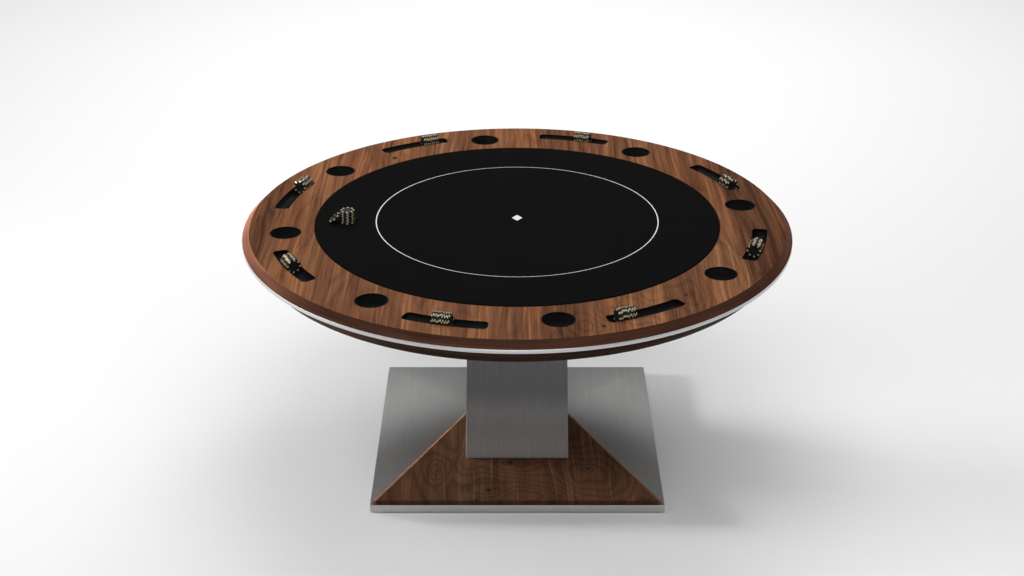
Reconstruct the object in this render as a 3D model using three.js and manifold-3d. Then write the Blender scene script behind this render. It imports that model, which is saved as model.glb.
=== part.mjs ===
// Round walnut poker table: stone-grey steel pedestal, walnut rail with cup
// holders and curved chip trays, black cloth playing surface, chips in place.
// Millimetres, +Z up, origin on the floor at the centre of the base.

import * as THREE from 'three';
import { mergeVertices } from 'three/addons/utils/BufferGeometryUtils.js';
import Module from 'manifold-3d';

const wasm = await Module();
wasm.setup();

// ---------------------------------------------------------------- dimensions
const GAP = 0.3;                 // clearance between pieces that touch

const CLOTH_TOP = 712;           // playing surface above the floor
const CLOTH_THICK = 3.7;         // cloth on its foam underlay
const RAIL_TOP = 709.5;          // the cloth stands slightly proud of the rail
const RAIL_BOTTOM = 691;
const R_TABLE = 762;             // 60 inch table
const R_RAIL_FLAT = 743;         // where the rail's long edge bevel starts
const R_PLAYFIELD = 563.5;       // inside of the rail
const R_SUBTOP = 738.3;
const TRIM_BOTTOM = 680;         // bright band under the rail
const APRON_BOTTOM = 634;        // underside of the lower walnut ring
const R_APRON_TOP = 755;
const R_APRON_BOTTOM = 715;
const R_APRON_IN = 692;
const SUBTOP_BOTTOM = 670;

const CUP_RADIUS_AT = 643;       // centre circle of the cup holders
const CUP_R_LIP = 43;            // 86 mm mouth
const CUP_R_BODY = 41.1;
const CUP_FLOOR = 640;
const CUP_ANGLES = [8.9, 55.2, 98.9, 145.2, 188.9, 235.2, 278.9, 325.2];

const TRAY_RADIUS_AT = 672;      // centre circle of the chip trays
const TRAY_HALF_WIDTH = 21;
const TRAY_HALF_ANGLE = 9.3;     // degrees, to the end of the slot
const TRAY_CORNER = 12;
const TRAY_LIP = 1.5;
const TRAY_ANGLES = [28.3, 74.5, 118.3, 164.5, 208.3, 254.5, 298.3, 344.5];
const TROUGH_R = 20.5;
const TROUGH_Z = 715.1;          // centre of the half-round trough

const CHIP_R = 19.5;             // 39 mm chips
const CHIP_T = 3.35;
const ROLL_CHIPS = 14;
const ROLL_Z = 714.5;
const ROLL_ANGLES = [23.1, 71.7, 112.5, 162.0, 203.9, 248.5, 297.7, 344.0];
const STACK_CHIPS = 11;
const STACK_AT = [-470, -32];
const LEAN_ANGLE = 40;           // degrees from the cloth

const COLUMN_FOOT = [295, 354];  // outside, X by Y
const COLUMN_HEAD = [268, 327];
const COLUMN_WALL = 2.5;
const PLATE_TOP = 25;            // top of the steel base
const PLATE_BOTTOM = 4;
const PLATE_SIZE = 811;
const PLATE_SKIN = 2;
const BALLAST_THICK = 12;
const WALNUT_TOP = 40;           // top of the triangular walnut overlay
const TRI_HALF = 397;
const TRI_FRONT = -405;
const TRI_APEX = 405;
const TRI_CHAMFER = [8, 3];      // across, down
const MOUNT_PLATE = 520;
const MOUNT_THICK = 6;
const FOOT_AT = 345;             // levelling feet, from the centre in X and Y
const FOOT_R = 22.5;

const RING = 64;                 // sides of the big circles
const CUP_SIDES = 16;

// ---------------------------------------------------------------- helpers
const rad = (d) => (d * Math.PI) / 180;

// Position-only, welded, outward-facing copy of a geometry.
function weld(geometry) {
  const g = geometry.index ? geometry.toNonIndexed() : geometry.clone();
  for (const name of Object.keys(g.attributes)) if (name !== 'position') g.deleteAttribute(name);
  const m = mergeVertices(g, 1e-3);
  const p = m.attributes.position;
  const src = m.index.array;
  const keep = [];
  let volume = 0;
  for (let i = 0; i < src.length; i += 3) {
    const [a, b, c] = [src[i], src[i + 1], src[i + 2]];
    if (a === b || b === c || c === a) continue;
    keep.push(a, b, c);
    volume += p.getX(a) * (p.getY(b) * p.getZ(c) - p.getZ(b) * p.getY(c))
            + p.getY(a) * (p.getZ(b) * p.getX(c) - p.getX(b) * p.getZ(c))
            + p.getZ(a) * (p.getX(b) * p.getY(c) - p.getY(b) * p.getX(c));
  }
  if (volume < 0) for (let i = 0; i < keep.length; i += 3) [keep[i + 1], keep[i + 2]] = [keep[i + 2], keep[i + 1]];
  m.setIndex(keep);
  return m;
}

function toSolid(geometry) {
  const g = weld(geometry);
  return new wasm.Manifold(new wasm.Mesh({
    numProp: 3,
    vertProperties: new Float32Array(g.attributes.position.array),
    triVerts: new Uint32Array(g.index.array),
  }));
}

function fromSolid(solid) {
  const mesh = solid.getMesh();
  const g = new THREE.BufferGeometry();
  const n = mesh.numProp;
  const count = mesh.vertProperties.length / n;
  const pos = new Float32Array(count * 3);
  for (let i = 0; i < count; i++) for (let k = 0; k < 3; k++) pos[3 * i + k] = mesh.vertProperties[n * i + k];
  g.setAttribute('position', new THREE.BufferAttribute(pos, 3));
  g.setIndex(Array.from(mesh.triVerts));
  return weld(g);
}

// Base solid minus a list of tool geometries.
function cut(base, tools) {
  let s = toSolid(base);
  for (const t of tools) s = s.subtract(toSolid(t));
  return fromSolid(s);
}

// A turned piece about Z from [radius, height] pairs.
function turned(profile, sides, close = false) {
  const pts = profile.map(([r, z]) => new THREE.Vector2(r, z));
  if (close) pts.push(pts[0].clone());
  return weld(new THREE.LatheGeometry(pts, sides).rotateX(Math.PI / 2));
}

function disc(r, z0, z1, sides) {
  return new THREE.CylinderGeometry(r, r, z1 - z0, sides).rotateX(Math.PI / 2).translate(0, 0, (z0 + z1) / 2);
}

function block(x0, x1, y0, y1, z0, z1) {
  return new THREE.BoxGeometry(x1 - x0, y1 - y0, z1 - z0).translate((x0 + x1) / 2, (y0 + y1) / 2, (z0 + z1) / 2);
}

function prism(points, z0, z1, holes = []) {
  const shape = new THREE.Shape(points.map(([x, y]) => new THREE.Vector2(x, y)));
  for (const h of holes) shape.holes.push(new THREE.Path(h.map(([x, y]) => new THREE.Vector2(x, y))));
  return new THREE.ExtrudeGeometry(shape, { depth: z1 - z0, bevelEnabled: false, steps: 1 }).translate(0, 0, z0);
}

// Point on the table at angle phi from the front (-Y), turning towards +X.
const around = (phi, r) => [r * Math.sin(rad(phi)), -r * Math.cos(rad(phi))];

// Outline of a curved slot centred on phi = 0, grown or shrunk by inset.
function slotOutline(inset, cornerSteps, longSteps) {
  const half = rad(TRAY_HALF_ANGLE) * TRAY_RADIUS_AT - inset;
  const w = TRAY_HALF_WIDTH - inset;
  const c = Math.max(TRAY_CORNER - inset, 1);
  const flat = [];
  const corner = (sx, sy, a0) => {
    for (let i = 0; i <= cornerSteps; i++) {
      const a = rad(a0 + (90 * i) / cornerSteps);
      flat.push([sx * (half - c) + c * Math.cos(a), sy * (w - c) + c * Math.sin(a)]);
    }
  };
  const along = (x0, x1, y) => {
    for (let i = 1; i < longSteps; i++) flat.push([x0 + ((x1 - x0) * i) / longSteps, y]);
  };
  corner(1, 1, 0);
  along(half - c, -(half - c), w);
  corner(-1, 1, 90);
  corner(-1, -1, 180);
  along(-(half - c), half - c, -w);
  corner(1, -1, 270);
  return flat.map(([s, dr]) => {
    const a = s / TRAY_RADIUS_AT;
    const r = TRAY_RADIUS_AT + dr;
    return [r * Math.sin(a), -r * Math.cos(a)];
  });
}

const table = new THREE.Group();

function add(parent, name, geometry, material) {
  const mesh = new THREE.Mesh(geometry.index && !geometry.attributes.normal ? geometry : weld(geometry), material);
  mesh.name = name;
  parent.add(mesh);
  return mesh;
}

const paint = (color, roughness, metalness) => new THREE.MeshStandardMaterial({ color, roughness, metalness });

// ---------------------------------------------------------------- walnut rail
{
  const ring = turned([
    [R_PLAYFIELD, RAIL_BOTTOM], [R_TABLE, RAIL_BOTTOM], [R_RAIL_FLAT, RAIL_TOP],
    [R_PLAYFIELD + 1.5, RAIL_TOP], [R_PLAYFIELD, RAIL_TOP - 1.5],
  ], RING, true);
  const tools = [];
  for (const phi of CUP_ANGLES) {
    const [x, y] = around(phi, CUP_RADIUS_AT);
    tools.push(disc(CUP_R_BODY + 0.5, RAIL_BOTTOM - 5, RAIL_TOP + 5, CUP_SIDES).rotateZ(rad(phi)).translate(x, y, 0));
    tools.push(disc(CUP_R_LIP + GAP, RAIL_TOP - 2.3, RAIL_TOP + 5, CUP_SIDES).rotateZ(rad(phi)).translate(x, y, 0));
  }
  for (const phi of TRAY_ANGLES) {
    tools.push(prism(slotOutline(0, 4, 6), RAIL_BOTTOM - 5, RAIL_TOP + 5).rotateZ(rad(phi)));
  }
  add(table, 'walnut_rail', cut(ring, tools), paint(0x75503a, 0.45, 0));
}

// ---------------------------------------------------------------- playing surface
const R_CLOTH = R_PLAYFIELD - GAP - 0.2;
add(table, 'speed_cloth', turned([
  [0, CLOTH_TOP - CLOTH_THICK], [R_CLOTH, CLOTH_TOP - CLOTH_THICK],
  [R_CLOTH - 0.3, CLOTH_TOP - 2.2], [R_CLOTH - 1.4, CLOTH_TOP - 1.2], [R_CLOTH - 5, CLOTH_TOP], [0, CLOTH_TOP],
], RING), paint(0x151515, 0.95, 0));
add(table, 'playfield_board', disc(R_CLOTH, RAIL_BOTTOM, CLOTH_TOP - CLOTH_THICK - GAP, RING), paint(0xb08d60, 0.8, 0));

// ---------------------------------------------------------------- edge build-up
add(table, 'steel_trim_band', turned([
  [R_SUBTOP + GAP, TRIM_BOTTOM], [R_TABLE, TRIM_BOTTOM], [R_TABLE, RAIL_BOTTOM - GAP], [R_SUBTOP + GAP, RAIL_BOTTOM - GAP],
], RING, true), paint(0xc4c4c2, 0.25, 1));

add(table, 'apron_ring', turned([
  [R_APRON_IN, APRON_BOTTOM], [R_APRON_BOTTOM, APRON_BOTTOM], [R_APRON_TOP, TRIM_BOTTOM - GAP],
  [R_SUBTOP + GAP, TRIM_BOTTOM - GAP], [R_SUBTOP + GAP, SUBTOP_BOTTOM - GAP], [R_APRON_IN, SUBTOP_BOTTOM - GAP],
], RING, true), paint(0x2b1a12, 0.5, 0));

const MOUNT_SCREWS = [[-235, -235], [0, -235], [235, -235], [235, 0], [235, 235], [0, 235], [-235, 235], [-235, 0]];
{
  const tools = [];
  for (const phi of CUP_ANGLES) {
    const [x, y] = around(phi, CUP_RADIUS_AT);
    tools.push(disc(CUP_R_BODY + 0.7, SUBTOP_BOTTOM - 5, RAIL_BOTTOM + 5, CUP_SIDES).rotateZ(rad(phi)).translate(x, y, 0));
  }
  for (const [x, y] of MOUNT_SCREWS) tools.push(disc(3.2, SUBTOP_BOTTOM - 5, SUBTOP_BOTTOM + 15, 8).translate(x, y, 0));
  add(table, 'subtop_panel', cut(disc(R_SUBTOP, SUBTOP_BOTTOM, RAIL_BOTTOM - GAP, RING), tools), paint(0x8a6a48, 0.8, 0));
}

// ---------------------------------------------------------------- cup holders
const black = () => paint(0x101112, 0.35, 0);
CUP_ANGLES.forEach((phi, i) => {
  const cup = turned([
    [0, CUP_FLOOR], [36.5, CUP_FLOOR], [38.5, CUP_FLOOR + 2], [CUP_R_BODY, RAIL_TOP - 2], [CUP_R_LIP, RAIL_TOP - 2],
    [CUP_R_LIP, RAIL_TOP - 0.4], [CUP_R_LIP - 0.4, RAIL_TOP], [CUP_R_BODY - 1.3, RAIL_TOP],
    [37.2, CUP_FLOOR + 6], [34, CUP_FLOOR + 2.5], [0, CUP_FLOOR + 2.5],
  ], CUP_SIDES);
  const spot = new THREE.Group();
  spot.rotation.z = rad(phi);
  table.add(spot);
  add(spot, `cup_holder_${i + 1}`, cup, black()).position.set(0, -CUP_RADIUS_AT, 0);
});

// ---------------------------------------------------------------- chip trays
class TroughLine extends THREE.Curve {
  getPoint(t, target = new THREE.Vector3()) {
    const a = rad(-(TRAY_HALF_ANGLE + 2) + 2 * (TRAY_HALF_ANGLE + 2) * t);
    return target.set(TRAY_RADIUS_AT * Math.sin(a), -TRAY_RADIUS_AT * Math.cos(a), TROUGH_Z);
  }
}
const trayGeometry = (() => {
  const section = new THREE.Shape();
  for (let i = 0; i < 20; i++) {
    const a = rad(18 * i + 9);
    const r = TROUGH_R / Math.cos(rad(9));
    if (i === 0) section.moveTo(r * Math.cos(a), r * Math.sin(a));
    else section.lineTo(r * Math.cos(a), r * Math.sin(a));
  }
  section.closePath();
  const pipe = new THREE.ExtrudeGeometry(section, { steps: 8, bevelEnabled: false, extrudePath: new TroughLine() });
  const mouth = prism(slotOutline(TRAY_LIP, 4, 6), RAIL_BOTTOM + 2, RAIL_TOP + 40);
  const trough = toSolid(pipe).intersect(toSolid(mouth));
  const body = toSolid(prism(slotOutline(GAP, 4, 6), RAIL_BOTTOM, RAIL_TOP));
  return fromSolid(body.subtract(trough));
})();
TRAY_ANGLES.forEach((phi, i) => {
  add(table, `chip_tray_${i + 1}`, trayGeometry.clone(), black()).rotation.z = rad(phi);
});

// ---------------------------------------------------------------- chips
const chipPaint = () => paint(0x1c1c1f, 0.4, 0);
ROLL_ANGLES.forEach((phi, i) => {
  const roll = new THREE.CylinderGeometry(CHIP_R, CHIP_R, CHIP_T * ROLL_CHIPS, 20).rotateZ(Math.PI / 2);
  const spot = new THREE.Group();
  spot.rotation.z = rad(phi);
  table.add(spot);
  add(spot, `chip_roll_${i + 1}`, roll, chipPaint()).position.set(0, -(TRAY_RADIUS_AT - 0.2), ROLL_Z);
});
add(table, 'chip_stack', disc(CHIP_R, 0, CHIP_T * STACK_CHIPS, 20), chipPaint())
  .position.set(STACK_AT[0], STACK_AT[1], CLOTH_TOP + GAP);
{
  // One chip leans on the stack's side: its lower edge is on the cloth, its
  // upper edge against the stack.
  const chip = disc(CHIP_R, -CHIP_T / 2, CHIP_T / 2, 20);
  const a = rad(LEAN_ANGLE);
  const reach = CHIP_R * Math.cos(a) + (CHIP_T / 2) * Math.sin(a);
  const lift = CHIP_R * Math.sin(a) + (CHIP_T / 2) * Math.cos(a);
  const mesh = add(table, 'leaning_chip', chip, chipPaint());
  mesh.rotation.y = -a;
  mesh.position.set(STACK_AT[0] - CHIP_R - GAP - 0.2 - reach, STACK_AT[1] + 1, CLOTH_TOP + GAP + lift);
}

// ---------------------------------------------------------------- pedestal head
const HEAD_BOLTS = [[-95, -125], [95, -125], [95, 125], [-95, 125]];
{
  const s = MOUNT_PLATE / 2;
  const holes = [...MOUNT_SCREWS.map(([x, y]) => [x, y, 3.2]), ...HEAD_BOLTS.map(([x, y]) => [x, y, 5.3])]
    .map(([x, y, r]) => disc(r, SUBTOP_BOTTOM - MOUNT_THICK - 5, SUBTOP_BOTTOM + 5, 8).translate(x, y, 0));
  add(table, 'top_mount_plate', cut(block(-s, s, -s, s, SUBTOP_BOTTOM - MOUNT_THICK, SUBTOP_BOTTOM - GAP), holes), paint(0x222324, 0.5, 0.6));
}

function hexBolt(headR, headH, shankR, length) {
  // Head from z = 0 down to -headH, shank from 0 up to length.
  const head = disc(headR, -headH, 0, 6);
  const shank = disc(shankR, -1, length, 6);
  return fromSolid(toSolid(head).add(toSolid(shank)));
}
MOUNT_SCREWS.forEach(([x, y], i) => {
  add(table, `mount_screw_${i + 1}`, hexBolt(6, 3.4, 2.8, 19), paint(0x9a9a9a, 0.4, 1))
    .position.set(x, y, SUBTOP_BOTTOM - MOUNT_THICK - GAP);
});

// ---------------------------------------------------------------- column
const COL_Z0 = PLATE_TOP + GAP;
const COL_Z1 = SUBTOP_BOTTOM - MOUNT_THICK - GAP;
// Half width of the column's outer face at height z; k is 0 for X, 1 for Y.
const columnHalf = (k, z) => (COLUMN_FOOT[k] + ((COLUMN_HEAD[k] - COLUMN_FOOT[k]) * (z - COL_Z0)) / (COL_Z1 - COL_Z0)) / 2;
function taperedBlock(z0, z1, inset) {
  const g = new THREE.BoxGeometry(1, 1, 1);
  const p = g.attributes.position;
  for (let i = 0; i < p.count; i++) {
    const z = p.getZ(i) > 0 ? z1 : z0;
    p.setXYZ(i, Math.sign(p.getX(i)) * (columnHalf(0, z) - inset), Math.sign(p.getY(i)) * (columnHalf(1, z) - inset), z);
  }
  return g;
}
add(table, 'column_shell', cut(taperedBlock(COL_Z0, COL_Z1, 0), [taperedBlock(COL_Z0 - 5, COL_Z1 + 5, COLUMN_WALL)]), paint(0x6b6967, 0.38, 1));

const FLANGE_INSET = COLUMN_WALL + GAP;
{
  const holes = HEAD_BOLTS.map(([x, y]) => disc(5.3, COL_Z1 - 20, COL_Z1 + 10, 8).translate(x, y, 0));
  add(table, 'column_head_flange', cut(taperedBlock(COL_Z1 - 6, COL_Z1, FLANGE_INSET), holes), paint(0x3a3a3a, 0.5, 0.6));
}
HEAD_BOLTS.forEach(([x, y], i) => {
  add(table, `head_bolt_${i + 1}`, hexBolt(8.5, 6, 4.9, 11), paint(0x9a9a9a, 0.4, 1)).position.set(x, y, COL_Z1 - 6 - GAP);
});
{
  const holes = HEAD_BOLTS.map(([x, y]) => disc(5.3, COL_Z0 - 20, COL_Z0 + 20, 8).translate(x, y, 0));
  add(table, 'column_foot_flange', cut(taperedBlock(COL_Z0, COL_Z0 + 6, FLANGE_INSET), holes), paint(0x3a3a3a, 0.5, 0.6));
}
HEAD_BOLTS.forEach(([x, y], i) => {
  const m = add(table, `foot_bolt_${i + 1}`, hexBolt(8.5, 6, 4.9, 17), paint(0x9a9a9a, 0.4, 1));
  m.rotation.x = Math.PI;
  m.position.set(x, y, COL_Z0 + 6 + GAP);
});

// ---------------------------------------------------------------- base
{
  const s = PLATE_SIZE / 2;
  const inner = s - PLATE_SKIN;
  const tools = [block(-inner, inner, -inner, inner, PLATE_BOTTOM - 5, PLATE_TOP - PLATE_SKIN)];
  for (const [x, y] of HEAD_BOLTS) tools.push(disc(5.3, PLATE_BOTTOM, PLATE_TOP + 5, 8).translate(x, y, 0));
  add(table, 'base_shell', cut(block(-s, s, -s, s, PLATE_BOTTOM, PLATE_TOP), tools), paint(0x8a8886, 0.36, 1));

  const b = inner - GAP;
  const top = PLATE_TOP - PLATE_SKIN - GAP;
  const holes = HEAD_BOLTS.map(([x, y]) => disc(5.3, 0, 40, 8).translate(x, y, 0));
  for (const sx of [-1, 1]) for (const sy of [-1, 1]) holes.push(disc(5.5, 0, 40, 12).translate(sx * FOOT_AT, sy * FOOT_AT, 0));
  add(table, 'base_ballast_plate', cut(block(-b, b, -b, b, top - BALLAST_THICK, top), holes), paint(0x202122, 0.6, 0.5));
}

// Triangular walnut overlay, in a front part and an apex part, either side of
// the column, which stands on the steel. Its slanted edges are chamfered.
{
  const full = prism([[-TRI_HALF, TRI_FRONT], [TRI_HALF, TRI_FRONT], [0, TRI_APEX]], PLATE_TOP + GAP, WALNUT_TOP);
  const run = Math.hypot(TRI_HALF, TRI_APEX - TRI_FRONT);
  const tilt = Math.atan2(TRI_APEX - TRI_FRONT, TRI_HALF);
  const tools = [];
  for (const side of [-1, 1]) {
    // A triangular bar lying along one slanted edge takes off its top corner.
    const [w, h] = TRI_CHAMFER;
    const bar = prism([[-w / h, -h - 1], [-w / h, 1], [w + w / h, 1]], 0, run + 60)
      .rotateX(Math.PI / 2).translate(0, run + 30, 0)        // now x across, y along, z up
      .rotateZ(-(Math.PI / 2 - tilt)).translate(-TRI_HALF, TRI_FRONT, WALNUT_TOP);
    if (side > 0) bar.scale(-1, 1, 1);
    tools.push(bar);
  }
  const hx = COLUMN_FOOT[0] / 2 + GAP + 0.1;
  const hy = COLUMN_FOOT[1] / 2 + GAP + 0.1;
  let wood = toSolid(full);
  for (const t of tools) wood = wood.subtract(toSolid(t));
  const around_column = wood.subtract(toSolid(block(-hx, hx, -hy, hy, 0, 60)));
  const front = around_column.subtract(toSolid(block(-500, 500, hy - 1, 500, 0, 60)));
  const apex = around_column.subtract(toSolid(block(-500, 500, -500, hy - 0.5, 0, 60)));
  add(table, 'base_walnut_front', fromSolid(front), paint(0x503220, 0.45, 0));
  add(table, 'base_walnut_apex', fromSolid(apex), paint(0x503220, 0.45, 0));
}

// Levelling feet: a disc on the floor and a threaded stem up into the ballast.
{
  let i = 0;
  for (const sy of [-1, 1]) for (const sx of [-1, 1]) {
    i += 1;
    const foot = turned([
      [0, 0], [FOOT_R - 1, 0], [FOOT_R, 1], [FOOT_R, 3.2], [FOOT_R - 2, 5], [9, 6], [9, 9.5], [4.9, 9.5], [4.9, 22], [0, 22],
    ], 10);
    add(table, `level_foot_${i}`, foot, paint(0x17181a, 0.6, 0)).position.set(sx * FOOT_AT, sy * FOOT_AT, 0);
  }
}

export default table;
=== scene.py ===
# Round walnut poker table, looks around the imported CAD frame. Metres, +Z up.
import bpy
import bmesh
import math
import random
import numpy as np
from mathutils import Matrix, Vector
from mathutils.geometry import delaunay_2d_cdt


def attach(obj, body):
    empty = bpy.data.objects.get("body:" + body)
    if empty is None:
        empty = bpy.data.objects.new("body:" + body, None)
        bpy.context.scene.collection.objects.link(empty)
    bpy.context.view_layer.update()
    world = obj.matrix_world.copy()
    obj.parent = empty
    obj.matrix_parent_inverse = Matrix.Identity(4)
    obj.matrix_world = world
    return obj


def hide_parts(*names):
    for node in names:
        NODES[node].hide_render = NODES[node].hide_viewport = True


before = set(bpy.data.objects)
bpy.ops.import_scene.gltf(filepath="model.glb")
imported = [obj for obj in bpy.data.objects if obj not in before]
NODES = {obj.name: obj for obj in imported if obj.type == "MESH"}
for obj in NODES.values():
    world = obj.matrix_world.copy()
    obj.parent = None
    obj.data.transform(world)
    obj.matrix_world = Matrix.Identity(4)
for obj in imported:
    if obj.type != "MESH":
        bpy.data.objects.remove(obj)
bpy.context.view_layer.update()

# ------------------------------------------------------------------ dimensions (mm, as in the CAD)
CLOTH_TOP, CLOTH_THICK = 712.0, 3.7
RAIL_TOP, RAIL_BOTTOM = 709.5, 691.0
R_TABLE, R_RAIL_FLAT, R_PLAYFIELD, R_CLOTH = 762.0, 743.0, 563.5, 563.0
R_SUBTOP, TRIM_BOTTOM, SUBTOP_BOTTOM = 738.3, 680.0, 670.0
APRON_BOTTOM, R_APRON_TOP, R_APRON_BOTTOM, R_APRON_IN = 634.0, 755.0, 715.0, 692.0
CUP_AT, CUP_R_LIP, CUP_R_BODY, CUP_FLOOR = 643.0, 43.0, 41.1, 640.0
CUP_ANGLES = [8.9, 55.2, 98.9, 145.2, 188.9, 235.2, 278.9, 325.2]
TRAY_AT, TRAY_HALF, TRAY_ARC, TRAY_CORNER, TRAY_LIP = 672.0, 21.0, 9.3, 12.0, 1.5
TRAY_ANGLES = [28.3, 74.5, 118.3, 164.5, 208.3, 254.5, 298.3, 344.5]
TROUGH_R, TROUGH_Z = 20.5, 715.1
CHIP_R, CHIP_T, ROLL_CHIPS, ROLL_Z = 19.5, 3.35, 14, 714.5
ROLL_ANGLES = [23.1, 71.7, 112.5, 162.0, 203.9, 248.5, 297.7, 344.0]
STACK_CHIPS, STACK_AT, LEAN = 11, (-470.0, -32.0), 40.0
COL_Z0, COL_Z1 = 25.3, 663.7
COL_FOOT, COL_HEAD = (147.5, 177.0), (134.0, 163.5)
PLATE_TOP, PLATE_BOTTOM, PLATE_HALF = 25.0, 4.0, 405.5
HEAD_BOLTS = [(-95, -125), (95, -125), (95, 125), (-95, 125)]
MOUNT_SCREWS = [(-235, -235), (0, -235), (235, -235), (235, 0), (235, 235), (0, 235), (-235, 235), (-235, 0)]
FOOT_AT = 345.0


def rad(d):
    return d * math.pi / 180


def around(phi, r):
    return r * math.sin(rad(phi)), -r * math.cos(rad(phi))


# ------------------------------------------------------------------ mesh helpers
def make(name, verts, faces, mat, body, replaces=(), flat=(), angle=38, attr=None, mats=None, face_mats=None):
    """A piece from points in mm. flat lists the faces that stay flat-shaded."""
    me = bpy.data.meshes.new(name)
    me.from_pydata([tuple(c * 0.001 for c in v) for v in verts], [], [tuple(int(i) for i in f) for f in faces])
    if attr is not None:
        a = me.attributes.new("chip", "FLOAT_VECTOR", "POINT")
        a.data.foreach_set("vector", np.array(attr, np.float32).ravel())
    smooth = np.ones(len(me.polygons), bool)
    if len(flat):
        smooth[list(flat)] = False
    bm = bmesh.new()
    bm.from_mesh(me)
    for f in bm.faces:
        f.smooth = bool(smooth[f.index])
    bmesh.ops.recalc_face_normals(bm, faces=bm.faces)
    bm.to_mesh(me)
    bm.free()
    me.set_sharp_from_angle(angle=rad(angle))
    me.materials.append(mat)
    me.update()
    o = bpy.data.objects.new(name, me)
    bpy.context.scene.collection.objects.link(o)
    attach(o, body)
    if replaces:
        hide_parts(*([replaces] if isinstance(replaces, str) else replaces))
    return o


def lathe(profile, n, closed=False, at=(0, 0, 0), phase=0.0):
    """Points and faces of a piece turned about Z. profile is (radius, height) pairs."""
    verts, rings = [], []
    for r, z in profile:
        if r < 1e-6:
            rings.append([len(verts)])
            verts.append((at[0], at[1], at[2] + z))
        else:
            rings.append(list(range(len(verts), len(verts) + n)))
            for i in range(n):
                a = phase + 2 * math.pi * i / n
                verts.append((at[0] + r * math.cos(a), at[1] + r * math.sin(a), at[2] + z))
    faces = []
    pairs = list(zip(rings, rings[1:])) + ([(rings[-1], rings[0])] if closed else [])
    for a, b in pairs:
        for i in range(n):
            j = (i + 1) % n
            if len(a) == 1 and len(b) == 1:
                continue
            if len(a) == 1:
                faces.append((a[0], b[i], b[j]))
            elif len(b) == 1:
                faces.append((a[i], b[0], a[j]))
            else:
                faces.append((a[i], b[i], b[j], a[j]))
    return verts, faces


def round_profile(points, radii, steps=4):
    """A profile with its corners rounded. radii matches points; 0 leaves a corner sharp."""
    out, n = [], len(points)
    for i, (p, r) in enumerate(zip(points, radii)):
        if r <= 0 or i in (0, n - 1) and not radii[0] < 0 and not closed_profile(points):
            out.append(p)
            continue
        a, b = np.array(points[i - 1], float), np.array(points[(i + 1) % n], float)
        p = np.array(p, float)
        u, v = (a - p) / np.linalg.norm(a - p), (b - p) / np.linalg.norm(b - p)
        half = math.acos(max(-1, min(1, float(u @ v)))) / 2
        t = r / math.tan(half)
        c = p + (u + v) / np.linalg.norm(u + v) * r / math.sin(half)
        s, e = p + u * t, p + v * t
        a0, a1 = math.atan2(*(s - c)[::-1]), math.atan2(*(e - c)[::-1])
        d = (a1 - a0 + math.pi) % (2 * math.pi) - math.pi
        for k in range(steps + 1):
            q = a0 + d * k / steps
            out.append((float(c[0] + r * math.cos(q)), float(c[1] + r * math.sin(q))))
    return out


def closed_profile(points):
    return False


def ring_profile(points, radii, steps=4):
    """round_profile for a closed outline, where every corner may be rounded."""
    out, n = [], len(points)
    for i in range(n):
        p, r = np.array(points[i], float), radii[i]
        if r <= 0:
            out.append(tuple(p))
            continue
        a, b = np.array(points[i - 1], float), np.array(points[(i + 1) % n], float)
        u, v = (a - p) / np.linalg.norm(a - p), (b - p) / np.linalg.norm(b - p)
        half = math.acos(max(-1, min(1, float(u @ v)))) / 2
        t = r / math.tan(half)
        c = p + (u + v) / np.linalg.norm(u + v) * r / math.sin(half)
        s, e = p + u * t, p + v * t
        a0, a1 = math.atan2(*(s - c)[::-1]), math.atan2(*(e - c)[::-1])
        d = (a1 - a0 + math.pi) % (2 * math.pi) - math.pi
        for k in range(steps + 1):
            q = a0 + d * k / steps
            out.append((float(c[0] + r * math.cos(q)), float(c[1] + r * math.sin(q))))
    return out


def circle(cx, cy, r, n, phase=0.0):
    return [(cx + r * math.cos(phase + 2 * math.pi * i / n), cy + r * math.sin(phase + 2 * math.pi * i / n)) for i in range(n)]


def rrect(hx, hy, r, n=6, cx=0.0, cy=0.0):
    """Rounded rectangle, anticlockwise."""
    out = []
    for sx, sy, a0 in ((1, 1, 0), (-1, 1, 90), (-1, -1, 180), (1, -1, 270)):
        for i in range(n + 1):
            a = rad(a0 + 90 * i / n)
            out.append((cx + sx * (hx - r) + r * math.cos(a), cy + sy * (hy - r) + r * math.sin(a)))
    return out


def slot_outline(inset, corner=10, long=44):
    """The curved slot's outline about phi = 0, as in the CAD."""
    half, w = rad(TRAY_ARC) * TRAY_AT - inset, TRAY_HALF - inset
    c = max(TRAY_CORNER - inset, 1.0)
    pts = []

    def corner_(sx, sy, a0):
        for i in range(corner + 1):
            a = rad(a0 + 90 * i / corner)
            pts.append((sx * (half - c) + c * math.cos(a), sy * (w - c) + c * math.sin(a)))

    def along(x0, x1, y):
        for i in range(1, long):
            pts.append((x0 + (x1 - x0) * i / long, y))

    corner_(1, 1, 0)
    along(half - c, -(half - c), w)
    corner_(-1, 1, 90)
    corner_(-1, -1, 180)
    along(-(half - c), half - c, -w)
    corner_(1, -1, 270)
    return pts


def bend(pts, phi):
    """Slot coordinates (along the arc, outwards) to the table's X and Y, at tray angle phi."""
    out = []
    for s, d in pts:
        a = s / TRAY_AT + rad(phi)
        r = TRAY_AT + d
        out.append((r * math.sin(a), -r * math.cos(a)))
    return out


def inside(poly, pts):
    """Which points are inside a polygon."""
    p, q = np.array(poly), np.array(pts)
    x, y = q[:, 0], q[:, 1]
    hit = np.zeros(len(q), bool)
    x0, y0 = p[-1]
    for x1, y1 in p:
        if y0 != y1:
            k = ((y1 > y) != (y0 > y)) & (x < (x0 - x1) * (y - y1) / (y0 - y1) + x1)
            hit ^= k
        x0, y0 = x1, y1
    return hit


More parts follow.
